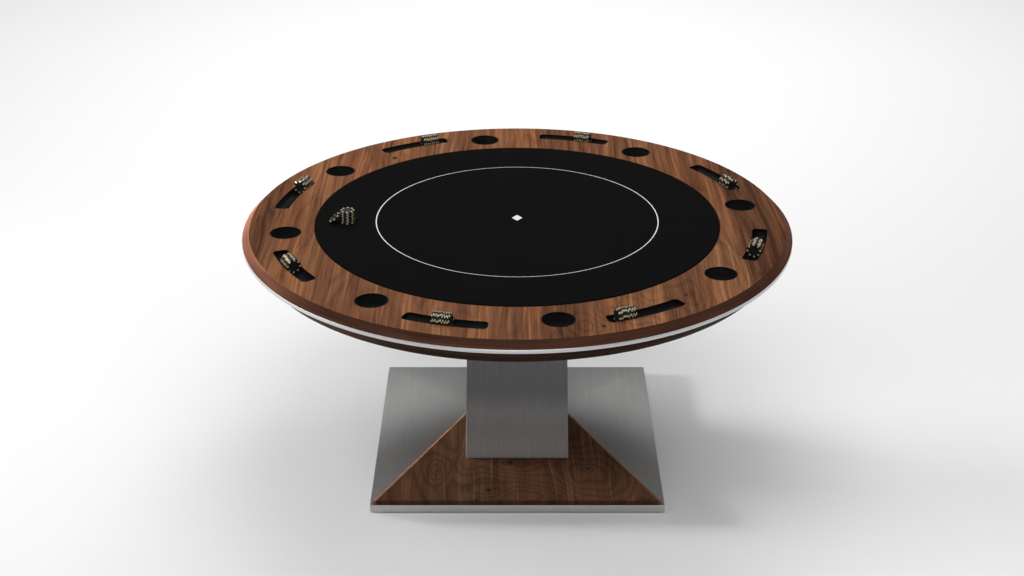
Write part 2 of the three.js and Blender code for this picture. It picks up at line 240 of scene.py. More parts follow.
def fill(outer, holes, extra=()):
    """Triangles that fill outer less its holes, as indices into outer + holes + extra."""
    pts, edges = [], []
    for loop in [outer, *holes]:
        s = len(pts)
        pts += list(loop)
        edges += [(s + i, s + (i + 1) % len(loop)) for i in range(len(loop))]
    pts += list(extra)
    co, _, tri, orig, _, _ = delaunay_2d_cdt([Vector(p) for p in pts], edges, [], 0, 1e-6)
    back = [o[0] for o in orig]
    mid = np.array([[sum(co[i][k] for i in t) / 3 for k in (0, 1)] for t in tri])
    keep = inside(outer, mid)
    for h in holes:
        keep &= ~inside(h, mid)
    return [tuple(back[i] for i in t) for t, k in zip(tri, keep) if k]


class Solid:
    """A closed piece built from stacks of loops joined by walls, with filled ends."""

    def __init__(self):
        self.v, self.f, self.flat = [], [], []

    def loop(self, pts, z):
        s = len(self.v)
        self.v += [(x, y, z) for x, y in pts]
        return list(range(s, s + len(pts)))

    def wall(self, loops):
        for a, b in zip(loops, loops[1:]):
            n = len(a)
            for i in range(n):
                j = (i + 1) % n
                self.f.append((a[i], b[i], b[j], a[j]))

    def cap(self, outer, holes=()):
        ids = list(outer) + [i for h in holes for i in h]
        xy = lambda loop: [self.v[i][:2] for i in loop]
        for t in fill(xy(outer), [xy(h) for h in holes]):
            self.flat.append(len(self.f))
            self.f.append(tuple(ids[i] for i in t))

    def stack(self, levels):
        """levels is [(points, z), ...]; returns the loops, joined by walls."""
        loops = [self.loop(p, z) for p, z in levels]
        self.wall(loops)
        return loops


def edge_round(r, z_top, k=4, sign=1, grow=0.0):
    """(offset, z) pairs for an edge of radius r at the top of a wall; sign 1 for a hole's mouth, -1 for an outer edge."""
    return [(sign * (r - r * math.sin(rad(90 * i / k))) + grow, z_top - r + r * math.cos(rad(90 * i / k))) for i in range(k + 1)]


# ------------------------------------------------------------------ material helpers
class Mat:
    def __init__(self, name):
        self.m = bpy.data.materials.new(name)
        self.m.use_nodes = True
        self.nt = self.m.node_tree
        self.nt.nodes.clear()
        self.out = self.nt.nodes.new("ShaderNodeOutputMaterial")
        self.b = self.nt.nodes.new("ShaderNodeBsdfPrincipled")
        self.nt.links.new(self.b.outputs[0], self.out.inputs[0])
        self._co = None

    def put(self, socket, value):
        if isinstance(value, bpy.types.NodeSocket):
            self.nt.links.new(value, socket)
        elif value is not None:
            if hasattr(socket.default_value, "__len__") and not hasattr(value, "__len__"):
                value = (value,) * len(socket.default_value)
            if hasattr(value, "__len__") and len(socket.default_value) == 4 and len(value) == 3:
                value = (*value, 1.0)
            socket.default_value = value

    def node(self, kind, ins=(), out=0, **props):
        n = self.nt.nodes.new(kind)
        for k, v in props.items():
            setattr(n, k, v)
        for k, v in (ins.items() if isinstance(ins, dict) else enumerate(ins)):
            self.put(n.inputs[k], v)
        return n.outputs[out]

    def co(self):
        if self._co is None:
            self._co = self.node("ShaderNodeTexCoord", out="Object")
        return self._co

    def math(self, op, *a, clamp=False):
        return self.node("ShaderNodeMath", a, operation=op, use_clamp=clamp)

    def sep(self, v):
        n = self.nt.nodes.new("ShaderNodeSeparateXYZ")
        self.put(n.inputs[0], v)
        return n.outputs[0], n.outputs[1], n.outputs[2]

    def comb(self, x, y, z):
        return self.node("ShaderNodeCombineXYZ", (x, y, z))

    def vec(self, op, *a, out=0):
        return self.node("ShaderNodeVectorMath", a, out=out, operation=op)

    def scale(self, v, s):
        return self.vec("MULTIPLY", v, s)

    def noise(self, v, scale=1.0, detail=2.0, rough=0.5, dist=0.0, out=0):
        return self.node("ShaderNodeTexNoise", {"Vector": v, "Scale": scale, "Detail": detail, "Roughness": rough, "Distortion": dist}, out=out)

    def white(self, v):
        return self.node("ShaderNodeTexWhiteNoise", {"Vector": v}, out="Color")

    def ramp(self, f, stops, interp="LINEAR"):
        n = self.nt.nodes.new("ShaderNodeValToRGB")
        n.color_ramp.interpolation = interp
        e = n.color_ramp.elements
        while len(e) < len(stops):
            e.new(0.5)
        for el, (p, c) in zip(e, stops):
            el.position = p
        for el, (p, c) in zip(e, stops):
            el.color = (*c, 1.0) if hasattr(c, "__len__") else (c, c, c, 1.0)
        self.put(n.inputs[0], f)
        return n.outputs[0]

    def step(self, f, lo, hi, a=0.0, b=1.0, smooth=True):
        return self.node("ShaderNodeMapRange", {"Value": f, "From Min": lo, "From Max": hi, "To Min": a, "To Max": b},
                         clamp=True, interpolation_type="SMOOTHSTEP" if smooth else "LINEAR")

    def mix(self, f, a, b, blend="MIX"):
        n = self.nt.nodes.new("ShaderNodeMix")
        n.data_type = "RGBA"
        n.blend_type = blend
        n.clamp_factor = True
        self.put(n.inputs[0], f)
        self.put(n.inputs[6], a)
        self.put(n.inputs[7], b)
        return n.outputs[2]

    def bump(self, h, strength=0.3, distance=0.001, normal=None):
        ins = {"Strength": strength, "Distance": distance, "Height": h}
        if normal is not None:
            ins["Normal"] = normal
        return self.node("ShaderNodeBump", ins)

    def set(self, **kw):
        names = {"color": "Base Color", "rough": "Roughness", "metal": "Metallic", "normal": "Normal", "spec": "Specular IOR Level",
                 "coat": "Coat Weight", "coat_rough": "Coat Roughness", "sheen": "Sheen Weight", "sheen_rough": "Sheen Roughness",
                 "sheen_tint": "Sheen Tint", "aniso": "Anisotropic", "ior": "IOR"}
        for k, v in kw.items():
            self.put(self.b.inputs[names[k]], v)
        return self.m


# Walnut tones, dark to light, linear.
W_DARK, W_MID, W_LIGHT = (0.041, 0.0165, 0.0088), (0.138, 0.0572, 0.0265), (0.305, 0.138, 0.0600)


def walnut(name, boards=None, tone=0.0, gain=1.0, figure=None, ring_grain=False, knots=(), rough=0.50, spec=0.30, seed=0.0, wave=1.0, rim=None, chamfer_highlight_colour=None, density=17.0):
    """Oiled walnut. boards is [(x edge in m, tone, offset a, offset b), ...], laid along Y."""
    M = Mat(name)
    x, y, z = M.sep(M.co())
    if ring_grain:            # bent round the ring: long along the circumference, fine across it
        r = M.math("SQRT", M.math("ADD", M.math("MULTIPLY", x, x), M.math("MULTIPLY", y, y)))
        ux = M.math("ADD", z, M.math("MULTIPLY", r, 0.6))
        tone_s = M.math("MULTIPLY", M.math("SUBTRACT", M.noise(M.comb(x, y, 0.0), 2.1, 1.0), 0.5), 0.10)
        wide = M.comb(M.math("MULTIPLY", x, 1.2), M.math("MULTIPLY", y, 1.2), M.math("MULTIPLY", ux, 26.0))
        streak = M.comb(M.math("MULTIPLY", x, 3.0), M.math("MULTIPLY", y, 3.0), M.math("MULTIPLY", ux, 120.0))
        fibre = M.comb(M.math("MULTIPLY", x, 16.0), M.math("MULTIPLY", y, 16.0), M.math("MULTIPLY", ux, 900.0))
        pore_v = M.comb(M.math("MULTIPLY", x, 55.0), M.math("MULTIPLY", y, 55.0), M.math("MULTIPLY", ux, 1500.0))
        lines = M.comb(M.math("MULTIPLY", x, 3.5), M.math("MULTIPLY", y, 3.5), M.math("MULTIPLY", ux, 300.0))
        rings = None
    else:
        if boards:
            stops, ids = [], []
            for edge, t, a, b in boards:
                stops.append(((edge + 0.8) / 1.6, (0.5 + t, a, b)))
            # the joints wander by nothing: they are straight saw cuts along Y
            col = M.ramp(M.math("DIVIDE", M.math("ADD", x, 0.8), 1.6), stops, "CONSTANT")
            s = M.node("ShaderNodeSeparateColor", (col,), out=0)
            sn = s.node
            tone_s, sa, sb = M.math("SUBTRACT", sn.outputs[0], 0.5), sn.outputs[1], sn.outputs[2]
            xs = M.math("ADD", x, M.math("MULTIPLY", sa, 9.7))
            ys = M.math("ADD", y, M.math("MULTIPLY", sb, 13.3))
            zs = z
        else:
            tone_s, xs, ys, zs = None, M.math("ADD", x, seed), M.math("ADD", y, seed * 1.7), z
        xs = M.math("ADD", xs, M.math("MULTIPLY", z, 0.35))      # the growth rings lean through the board's thickness
        # slow wander of the grain
        wander = M.math("SUBTRACT", M.noise(M.comb(M.math("MULTIPLY", xs, 3.2), M.math("MULTIPLY", ys, 1.5), zs), 1.0, 2.0), 0.5)
        xw = M.math("ADD", xs, M.math("MULTIPLY", wander, 0.055 * wave))
        wide = M.comb(M.math("MULTIPLY", xw, 10.0), M.math("MULTIPLY", ys, 0.75), 0.0)
        streak = M.comb(M.math("MULTIPLY", xw, 62.0), M.math("MULTIPLY", ys, 1.7), M.math("MULTIPLY", zs, 8.0))
        fibre = M.comb(M.math("MULTIPLY", xw, 520.0), M.math("MULTIPLY", ys, 9.0), M.math("MULTIPLY", zs, 60.0))
        pore_v = M.comb(M.math("MULTIPLY", xw, 1150.0), M.math("MULTIPLY", ys, 52.0), M.math("MULTIPLY", zs, 300.0))
        lines = M.comb(M.math("MULTIPLY", xw, 175.0), M.math("MULTIPLY", ys, 1.9), M.math("MULTIPLY", zs, 20.0))
        # flat-sawn figure: level lines of a field stretched along the board
        field = M.noise(M.comb(M.math("MULTIPLY", xw, 7.5), M.math("MULTIPLY", ys, 1.05), 0.0), 1.0, 1.5, 0.45)
        rings = M.math("MULTIPLY", field, density)
    knot_dark = None
    if not ring_grain:
        for kx, ky, rx, ry, amp, core in knots:
            dx = M.math("DIVIDE", M.math("SUBTRACT", x, kx), rx)
            dy = M.math("DIVIDE", M.math("SUBTRACT", y, ky), ry)
            d2 = M.math("ADD", M.math("MULTIPLY", dx, dx), M.math("MULTIPLY", dy, dy))
            hill = M.math("POWER", 2.718, M.math("MULTIPLY", d2, -1.0))
            rings = M.math("ADD", rings, M.math("MULTIPLY", hill, amp))
            if core:
                cx = M.math("DIVIDE", M.math("SUBTRACT", x, kx), core)
                cy = M.math("DIVIDE", M.math("SUBTRACT", y, ky), core * 1.25)
                c2 = M.math("ADD", M.math("MULTIPLY", cx, cx), M.math("MULTIPLY", cy, cy))
                c2 = M.math("ADD", c2, M.math("MULTIPLY", M.math("SUBTRACT", M.noise(M.co(), 190.0, 3.0), 0.5), 1.3))
                k = M.step(c2, 1.5, 0.1)
                knot_dark = k if knot_dark is None else M.math("MAXIMUM", knot_dark, k)
        saw = M.math("FRACT", rings)
        line = M.ramp(saw, [(0.0, 0.50), (0.50, 0.62), (0.84, 0.22), (0.94, 0.06), (1.0, 0.50)], "LINEAR")
    n_wide = M.noise(wide, 1.0, 2.0, 0.5)
    n_streak = M.noise(streak, 1.0, 3.0, 0.62)
    n_fibre = M.noise(fibre, 1.0, 3.0, 0.6)
    n_pore = M.noise(pore_v, 1.0, 1.0, 0.5)
    n_line = M.noise(lines, 1.0, 2.0, 0.5)
    amp = figure or (0.30, 0.46, 0.26)
    bend_ = lambda n, w, k, t: M.math("ADD", M.step(n, 0.5 - w, 0.5 + w, -0.5 * k, 0.5 * k), t)
    t = bend_(n_wide, 0.20, amp[0], 0.5 + tone)
    t = bend_(n_streak, 0.20, amp[1], t)
    t = bend_(n_fibre, 0.26, 0.20, t)
    t = M.math("SUBTRACT", t, M.step(n_line, 0.585, 0.675, 0.0, 0.20))
    t = M.math("ADD", t, M.step(n_line, 0.41, 0.33, 0.0, 0.26))
    if rings is not None:
        t = M.math("MULTIPLY_ADD", M.math("SUBTRACT", line, 0.45), amp[2], t)
    if tone_s is not None:
        t = M.math("ADD", t, tone_s)
    t = M.math("MINIMUM", M.math("MAXIMUM", t, 0.0), 1.0)
    g = lambda c: tuple(v * k for v, k in zip(c, gain if isinstance(gain, tuple) else (gain,) * 3))
    col = M.ramp(t, [(0.0, g(W_DARK)), (0.26, g(tuple(0.45 * a + 0.55 * b for a, b in zip(W_DARK, W_MID)))), (0.5, g(W_MID)), (0.78, g(tuple(0.5 * (a + b) for a, b in zip(W_MID, W_LIGHT)))), (1.0, g(W_LIGHT))])
    # a redder and a greyer cast drift along the boards
    hue = M.noise(M.comb(M.math("MULTIPLY", x, 7.0), M.math("MULTIPLY", y, 1.6), M.math("MULTIPLY", z, 7.0)), 1.0, 2.0)
    col = M.mix(M.step(hue, 0.35, 0.7), col, M.mix(1.0, col, (1.03, 0.93, 0.88), "MULTIPLY"))
    pores = M.step(n_pore, 0.60, 0.72)
    col = M.mix(M.math("MULTIPLY", pores, 0.42), col, g((0.020, 0.010, 0.007)))
    if rim:                   # the sloping edge is a separate lipping with its grain running round the table; its much darker colour is painted shade for the bevel turning away from the light
        er = M.math("SQRT", M.math("ADD", M.math("MULTIPLY", x, x), M.math("MULTIPLY", y, y)))
        along = M.math("ADD", M.math("MULTIPLY", z, 260.0), M.math("MULTIPLY", er, 160.0))
        r_wide = M.noise(M.comb(M.math("MULTIPLY", x, 2.6), M.math("MULTIPLY", y, 2.6), M.math("MULTIPLY", along, 0.35)), 1.0, 2.0)
        r_fine = M.noise(M.comb(M.math("MULTIPLY", x, 6.0), M.math("MULTIPLY", y, 6.0), M.math("MULTIPLY", along, 3.0)), 1.0, 3.0, 0.6)
        r_t = M.math("MULTIPLY_ADD", M.math("SUBTRACT", r_fine, 0.5), 0.9, r_wide)
        col = M.mix(M.step(er, rim, rim + 0.0006), col, M.ramp(r_t, [(0.25, (0.034, 0.0135, 0.0085)), (0.55, (0.058, 0.0235, 0.0145)), (0.85, (0.094, 0.039, 0.023))]))
    if chamfer_highlight_colour:                   # the chamfered slanted edges carry straight-grained lipping; its paler colour is painted highlight for the light the chamfers catch from the side
        lip_d = M.math("SUBTRACT", M.math("MULTIPLY", M.math("SUBTRACT", 0.397, M.math("ABSOLUTE", x)), 0.8979), M.math("MULTIPLY", M.math("ADD", y, 0.405), 0.4401))
        l_t = M.noise(M.comb(M.math("MULTIPLY", lip_d, 900.0), M.math("MULTIPLY", y, 9.0), 0.0), 1.0, 3.0, 0.6)
        col = M.mix(M.step(lip_d, 0.0084, 0.0079), col, M.ramp(l_t, [(0.25, tuple(0.7 * v for v in chamfer_highlight_colour)), (0.75, tuple(1.3 * v for v in chamfer_highlight_colour))]))
        col = M.mix(M.step(y, -0.4034, -0.4044), col, M.mix(1.0, col, (0.52, 0.50, 0.55), "MULTIPLY"))       # darker end face: painted shade on the front face turned away from the light
    if knot_dark is not None:
        col = M.mix(M.math("MULTIPLY", knot_dark, 0.88), col, g((0.012, 0.0065, 0.005)))
    h = M.math("SUBTRACT", M.math("MULTIPLY", n_fibre, 0.35), M.math("MULTIPLY", pores, 0.8))
    r = M.math("MULTIPLY_ADD", pores, 0.16, M.math("MULTIPLY_ADD", n_streak, 0.10, rough - 0.05))
    return M.set(color=col, rough=r, normal=M.bump(h, 0.16, 0.0004), spec=spec)


def brushed(name, color, rough=0.36, along="y", amount=0.16, aniso=0.55, tone_var=0.10, ring=False, bump=0.06, foot=0.0, front=0.0):
    """Brushed stainless steel, its scratches along one axis of the frame."""
    M = Mat(name)
    x, y, z = M.sep(M.co())
    if ring:
        v = lambda a, b: M.comb(M.math("MULTIPLY", x, b), M.math("MULTIPLY", y, b), M.math("MULTIPLY", z, a))
    elif along == "y":
        v = lambda a, b: M.comb(M.math("MULTIPLY", x, a), M.math("MULTIPLY", y, b), M.math("MULTIPLY", z, a))
    else:
        v = lambda a, b: M.comb(M.math("MULTIPLY", x, a), M.math("MULTIPLY", y, a), M.math("MULTIPLY", z, b))
    coarse = M.noise(v(150.0, 1.6), 1.0, 3.0, 0.65)
    mid = M.noise(v(520.0, 7.0), 1.0, 3.0, 0.6)
    fine = M.noise(v(2400.0, 24.0), 1.0, 2.0, 0.6)
    cloud = M.noise(M.co(), 3.5, 2.0)
    s = M.math("ADD", M.math("MULTIPLY", M.math("SUBTRACT", coarse, 0.5), 0.8), M.math("MULTIPLY", M.math("SUBTRACT", mid, 0.5), 1.0))
    s = M.math("ADD", s, M.math("MULTIPLY", M.math("SUBTRACT", fine, 0.5), 0.7))
    k = M.math("MULTIPLY_ADD", s, amount * 2.0, 1.0)
    k = M.math("MULTIPLY_ADD", M.math("SUBTRACT", cloud, 0.5), tone_var, k)
    if foot:                  # painted highlight: the colour grows brighter towards the foot
        k = M.math("MULTIPLY", k, M.step(z, 0.27, 0.05, 1.0, 1.0 + foot))
    if front:                 # painted highlight towards the front edge
        k = M.math("MULTIPLY", k, M.step(y, -0.05, -0.40, 1.0, 1.0 + front))
        # painted shade: the plate's front face is darker
        k = M.math("MULTIPLY", k, M.step(y, -0.4045, -0.4052, 1.0, 0.80))
    col = M.vec("SCALE", M.comb(*color), out=0)
    M.put(col.node.inputs["Scale"], k)
    r = M.math("MULTIPLY_ADD", s, 0.10, rough)
    metal = M.step(z, 0.27, 0.05, 1.0, 0.40) if foot else 1.0        # less metallic and less mirror-like low on the column, to carry the painted highlight there
    return M.set(color=col, rough=r, metal=metal, aniso=aniso, normal=M.bump(M.math("ADD", M.math("MULTIPLY", mid, 0.6), M.math("MULTIPLY", fine, 0.5)), bump, 0.0002))


def plastic(name, color, rough=0.34, spec=0.22, grain=1400.0, bump=0.05, tint=None, deep=False):
    """Moulded black plastic with a fine texture."""
    M = Mat(name)
    g = M.noise(M.co(), grain, 2.0, 0.6)
    c = M.noise(M.co(), 26.0, 3.0, 0.6)
    dust = M.step(M.noise(M.co(), 420.0, 4.0, 0.7), 0.62, 0.80)
    lo = tuple(v * 0.78 for v in color)
    hi = tint or tuple(v * 1.3 + 0.001 for v in color)
    col = M.mix(M.step(c, 0.3, 0.7), lo, hi)
    col = M.mix(M.math("MULTIPLY", dust, 0.12), col, (0.10, 0.10, 0.10))
    if deep:                  # near black at the rim, painted shade that hides the rim's lit edge; lighter grey towards the floor of the cup, painted light for its lit far wall
        z = M.sep(M.co())[2]
        col = M.mix(M.step(z, 0.687, 0.670), col, (0.038, 0.0365, 0.0365))
        col = M.mix(M.step(z, 0.7050, 0.7075), col, (0.0022, 0.0024, 0.0028))
    return M.set(color=col, rough=M.math("MULTIPLY_ADD", c, 0.14, rough - 0.07), spec=spec, normal=M.bump(g, bump, 0.0002))


def chip_material():
    """Clay-composite chip: dark body, eight cream edge spots, a pressed texture round a smooth centre."""
    M = Mat("chip_black_mat")
    p = M.node("ShaderNodeAttribute", attribute_name="chip", out="Vector")
    x, y, z = M.sep(p)
    r = M.math("SQRT", M.math("ADD", M.math("MULTIPLY", x, x), M.math("MULTIPLY", y, y)))
    a = M.math("ARCTAN2", y, x)
    turns = M.math("MULTIPLY", a, 8 / (2 * math.pi))
    off = M.math("ABSOLUTE", M.math("SUBTRACT", M.math("FRACT", M.math("ADD", turns, 16.0)), 0.5))
    across = M.math("MULTIPLY", M.math("MULTIPLY", off, 2 * math.pi / 8), r)        # mm from the spot's middle
    grime = M.noise(M.co(), 900.0, 3.0, 0.6)
    edge = M.math("MULTIPLY_ADD", M.math("SUBTRACT", grime, 0.5), 0.25, across)
    rim = M.step(r, 19.25, 19.4)                                  # 1 on the chip's edge
    on_edge = M.math("MULTIPLY", rim, M.step(M.math("ABSOLUTE", z), 1.24, 1.06))
    on_face = M.math("MULTIPLY", M.math("SUBTRACT", 1.0, rim), M.math("MULTIPLY", M.step(r, 14.6, 14.9), M.step(r, 19.15, 18.95)))
    spot = M.math("MULTIPLY", M.step(edge, 2.50, 2.20), M.math("ADD", on_edge, on_face))
    cloud = M.noise(M.co(), 140.0, 3.0, 0.6)
    body = M.mix(cloud, (0.0085, 0.0088, 0.0095), (0.0165, 0.0168, 0.0180))
    ring = M.math("MULTIPLY", M.step(r, 12.6, 12.9), M.step(r, 13.5, 13.2))
    body = M.mix(M.math("MULTIPLY", ring, 0.5), body, (0.030, 0.030, 0.032))
    cream = M.mix(cloud, (0.53, 0.44, 0.245), (0.70, 0.61, 0.38))
    col = M.mix(spot, body, cream)
    # pressed cross-hatch on the rim band of each face
    hatch = M.math("MULTIPLY", M.math("SINE", M.math("MULTIPLY", M.math("ADD", x, y), 5.2)), M.math("SINE", M.math("MULTIPLY", M.math("SUBTRACT", x, y), 5.2)))
    band = M.math("MULTIPLY", M.step(r, 13.6, 14.0), M.step(r, 18.9, 18.5))
    h = M.math("ADD", M.math("MULTIPLY", hatch, M.math("MULTIPLY", band, 0.5)), M.math("MULTIPLY", grime, 0.5))
    return M.set(color=col, rough=M.math("MULTIPLY_ADD", cloud, 0.16, 0.46), spec=0.16, normal=M.bump(h, 0.25, 0.0002))


def cloth_material():
    """Black speed cloth with a white printed ring and a small plain white diamond at the centre."""
    M = Mat("speed_cloth_mat")
    x, y, z = M.sep(M.co())
    r = M.math("SQRT", M.math("ADD", M.math("MULTIPLY", x, x), M.math("MULTIPLY", y, y)))
    side = M.math("DIVIDE", M.math("ABSOLUTE", x), M.math("MAXIMUM", r, 0.01))
    half = M.math("MULTIPLY_ADD", M.math("MULTIPLY", side, side), 0.00060, 0.00085)          # the stroke swells towards the sides
    ring = M.step(M.math("SUBTRACT", M.math("ABSOLUTE", M.math("SUBTRACT", r, 0.3926)), half), 0.00025, -0.00025)
    d = M.math("ADD", M.math("DIVIDE", M.math("ABSOLUTE", x), 0.015), M.math("DIVIDE", M.math("ABSOLUTE", y), 0.021))
    dia = M.step(d, 1.0, 0.97)
    ink = M.math("MAXIMUM", ring, dia)
    # twill threads 0.5 mm apart, a finer yarn noise, and slow cloudiness in the nap
    warp = M.math("SINE", M.math("MULTIPLY", M.math("ADD", x, y), 2 * math.pi / 0.00105))
    weft = M.math("SINE", M.math("MULTIPLY", M.math("SUBTRACT", x, M.math("MULTIPLY", y, 0.55)), 2 * math.pi / 0.00082))
    yarn = M.noise(M.co(), 2600.0, 2.0, 0.6)
    nap = M.noise(M.co(), 9.0, 3.0, 0.55)
    weave = M.math("ADD", M.math("MULTIPLY", M.math("MAXIMUM", warp, weft), 0.5), yarn)
    base = M.mix(nap, (0.0031, 0.0031, 0.0031), (0.0043, 0.0043, 0.0043))
    base = M.mix(M.math("MULTIPLY", M.step(yarn, 0.62, 0.8), 0.25), base, (0.016, 0.016, 0.016))
    worn = M.math("MULTIPLY_ADD", M.math("SUBTRACT", yarn, 0.5), 0.25, 0.95)
    col = M.mix(M.math("MULTIPLY", ink, worn), base, (0.74, 0.74, 0.73))
    return M.set(color=col, rough=0.95, spec=0.03, normal=M.bump(weave, 0.22, 0.0002), sheen=0.0)


def board_material(name, lo, hi):
    """Ply under a thin grey sealer: faint stretched grain with a few darker flecks."""
    M = Mat(name)
    x, y, z = M.sep(M.co())
    v = M.comb(M.math("MULTIPLY", x, 2.0), M.math("MULTIPLY", y, 38.0), M.math("MULTIPLY", z, 700.0))
    n = M.noise(v, 1.0, 4.0, 0.6, 0.6)
    f = M.noise(M.comb(M.math("MULTIPLY", x, 30.0), M.math("MULTIPLY", y, 700.0), M.math("MULTIPLY", z, 700.0)), 1.0, 2.0)
    fleck = M.step(M.noise(M.comb(M.math("MULTIPLY", x, 40.0), M.math("MULTIPLY", y, 320.0), z), 1.0, 1.0), 0.66, 0.76)
    col = M.mix(M.step(n, 0.3, 0.7), lo, hi)
    col = M.mix(M.math("MULTIPLY", fleck, 0.35), col, tuple(v * 0.4 for v in lo))
    return M.set(color=col, rough=M.math("MULTIPLY_ADD", f, 0.15, 0.55), spec=0.3, normal=M.bump(f, 0.15, 0.0003))


def coated_steel(name, color, rough=0.5):
    """Powder-coated steel with an orange-peel skin."""
    M = Mat(name)
    peel = M.noise(M.co(), 520.0, 2.0, 0.55)
    cloud = M.noise(M.co(), 12.0, 3.0, 0.6)
    speck = M.step(M.noise(M.co(), 1500.0, 1.0), 0.70, 0.78)
    col = M.mix(M.step(cloud, 0.3, 0.7), tuple(v * 0.8 for v in color), tuple(v * 1.25 for v in color))
    col = M.mix(M.math("MULTIPLY", speck, 0.3), col, tuple(v * 2.0 + 0.01 for v in color))
    return M.set(color=col, rough=M.math("MULTIPLY_ADD", cloud, 0.16, rough - 0.08), metal=0.0, spec=0.5, normal=M.bump(peel, 0.25, 0.0003))


def zinc(name):
    """Zinc-plated fastener, slightly mottled, with turning marks."""
    M = Mat(name)
    spangle = M.noise(M.co(), 700.0, 3.0, 0.6)
    x, y, z = M.sep(M.co())
    marks = M.noise(M.comb(M.math("MULTIPLY", x, 40.0), M.math("MULTIPLY", y, 40.0), M.math("MULTIPLY", z, 5200.0)), 1.0, 1.0)
    col = M.mix(M.step(spangle, 0.35, 0.65), (0.42, 0.43, 0.44), (0.62, 0.62, 0.60))
    return M.set(color=col, rough=M.math("MULTIPLY_ADD", spangle, 0.2, 0.24), metal=1.0, normal=M.bump(marks, 0.12, 0.0002))


def rubber(name, color):
    M = Mat(name)
    n = M.noise(M.co(), 800.0, 3.0, 0.7)
    c = M.noise(M.co(), 60.0, 3.0, 0.6)
    col = M.mix(M.step(c, 0.35, 0.65), tuple(v * 0.75 for v in color), tuple(v * 1.35 for v in color))
    return M.set(color=col, rough=M.math("MULTIPLY_ADD", c, 0.15, 0.68), spec=0.3, normal=M.bump(n, 0.3, 0.0003))


# (edge where the board starts in m, tone, offset a, offset b)
# painted shade: the two outermost boards, at the far left and right, are toned much darker, standing in for their
# figure reflecting less light there
RAIL_BOARDS = [(-0.80, -0.22, 0.11, 0.52), (-0.685, 0.06, 0.67, 0.23), (-0.585, 0.04, 0.31, 0.81), (-0.440, 0.03, 0.92, 0.40),
               (-0.300, -0.03, 0.18, 0.07), (-0.165, 0.06, 0.55, 0.66), (-0.030, -0.04, 0.79, 0.93), (0.110, -0.14, 0.04, 0.35),
               (0.250, 0.07, 0.43, 0.14), (0.365, -0.01, 0.86, 0.58), (0.490, 0.07, 0.27, 0.72), (0.595, -0.28, 0.60, 0.02)]
RAIL_KNOTS = [(-0.372, 0.476, 0.030, 0.055, 2.2, 0.008), (-0.455, -0.335, 0.04, 0.12, 1.2, 0.0), (0.209, -0.671, 0.140, 0.070, 2.0, 0.0060),
              (0.425, -0.496, 0.090, 0.090, 1.8, 0.0050), (0.315, -0.590, 0.130, 0.070, -1.8, 0.0)]

walnut_rail_mat = walnut("walnut_rail_mat", boards=RAIL_BOARDS, knots=RAIL_KNOTS, figure=(0.34, 0.36, 0.34), gain=1.12, spec=0.02, rim=R_RAIL_FLAT / 1000, density=11.0)
apron_mat = walnut("walnut_apron_mat", ring_grain=True, tone=-0.12, gain=0.20, rough=0.6, spec=0.03)
BASE_KNOTS = [(-0.018, -0.204, 0.150, 0.075, 4.6, 0.0085), (0.200, -0.300, 0.135, 0.150, 4.8, 0.0), (0.200, -0.239, 0.022, 0.022, 1.5, 0.0050),
              (-0.079, -0.352, 0.045, 0.035, 2.4, 0.0065), (-0.051, -0.339, 0.02, 0.02, 0.8, 0.0040), (-0.226, -0.248, 0.030, 0.060, 2.6, 0.0045),
              (0.060, -0.380, 0.110, 0.050, -3.0, 0.0)]
base_walnut_mat = walnut("walnut_base_mat", knots=BASE_KNOTS, figure=(0.22, 0.20, 0.50), gain=(0.57, 0.67, 0.78), seed=3.31, wave=1.8, rough=0.5, spec=0.04, chamfer_highlight_colour=(0.228, 0.105, 0.052), density=10.0)
cloth_mat = cloth_material()
trim_mat = brushed("trim_steel_mat", (0.56, 0.56, 0.56), rough=0.24, ring=True, amount=0.03, aniso=0.3, tone_var=0.03, bump=0.03)
# foot paints a highlight low on the column
column_mat = brushed("column_steel_mat", (0.115, 0.113, 0.112), rough=0.34, along="z", amount=0.18, foot=2.4)
# front paints a highlight towards the plate's front edge and shade on its front face
base_mat = brushed("base_steel_mat", (0.42, 0.416, 0.412), front=0.50, rough=0.50, along="y", amount=0.14)
tray_mat = plastic("tray_black_mat", (0.0024, 0.0026, 0.0030), rough=0.50, spec=0.05)
cup_mat = plastic("cup_black_mat", (0.0125, 0.0130, 0.0135), rough=0.46, spec=0.05, deep=True)
chip_mat = chip_material()
ply_mat = board_material("board_ply_mat", (0.165, 0.163, 0.160), (0.235, 0.232, 0.227))
black_steel_mat = coated_steel("black_steel_mat", (0.016, 0.0165, 0.017))
fastener_mat = zinc("fastener_steel_mat")
rubber_mat = rubber("foot_rubber_mat", (0.012, 0.012, 0.013))

BIG = 360      # sides of the big circles

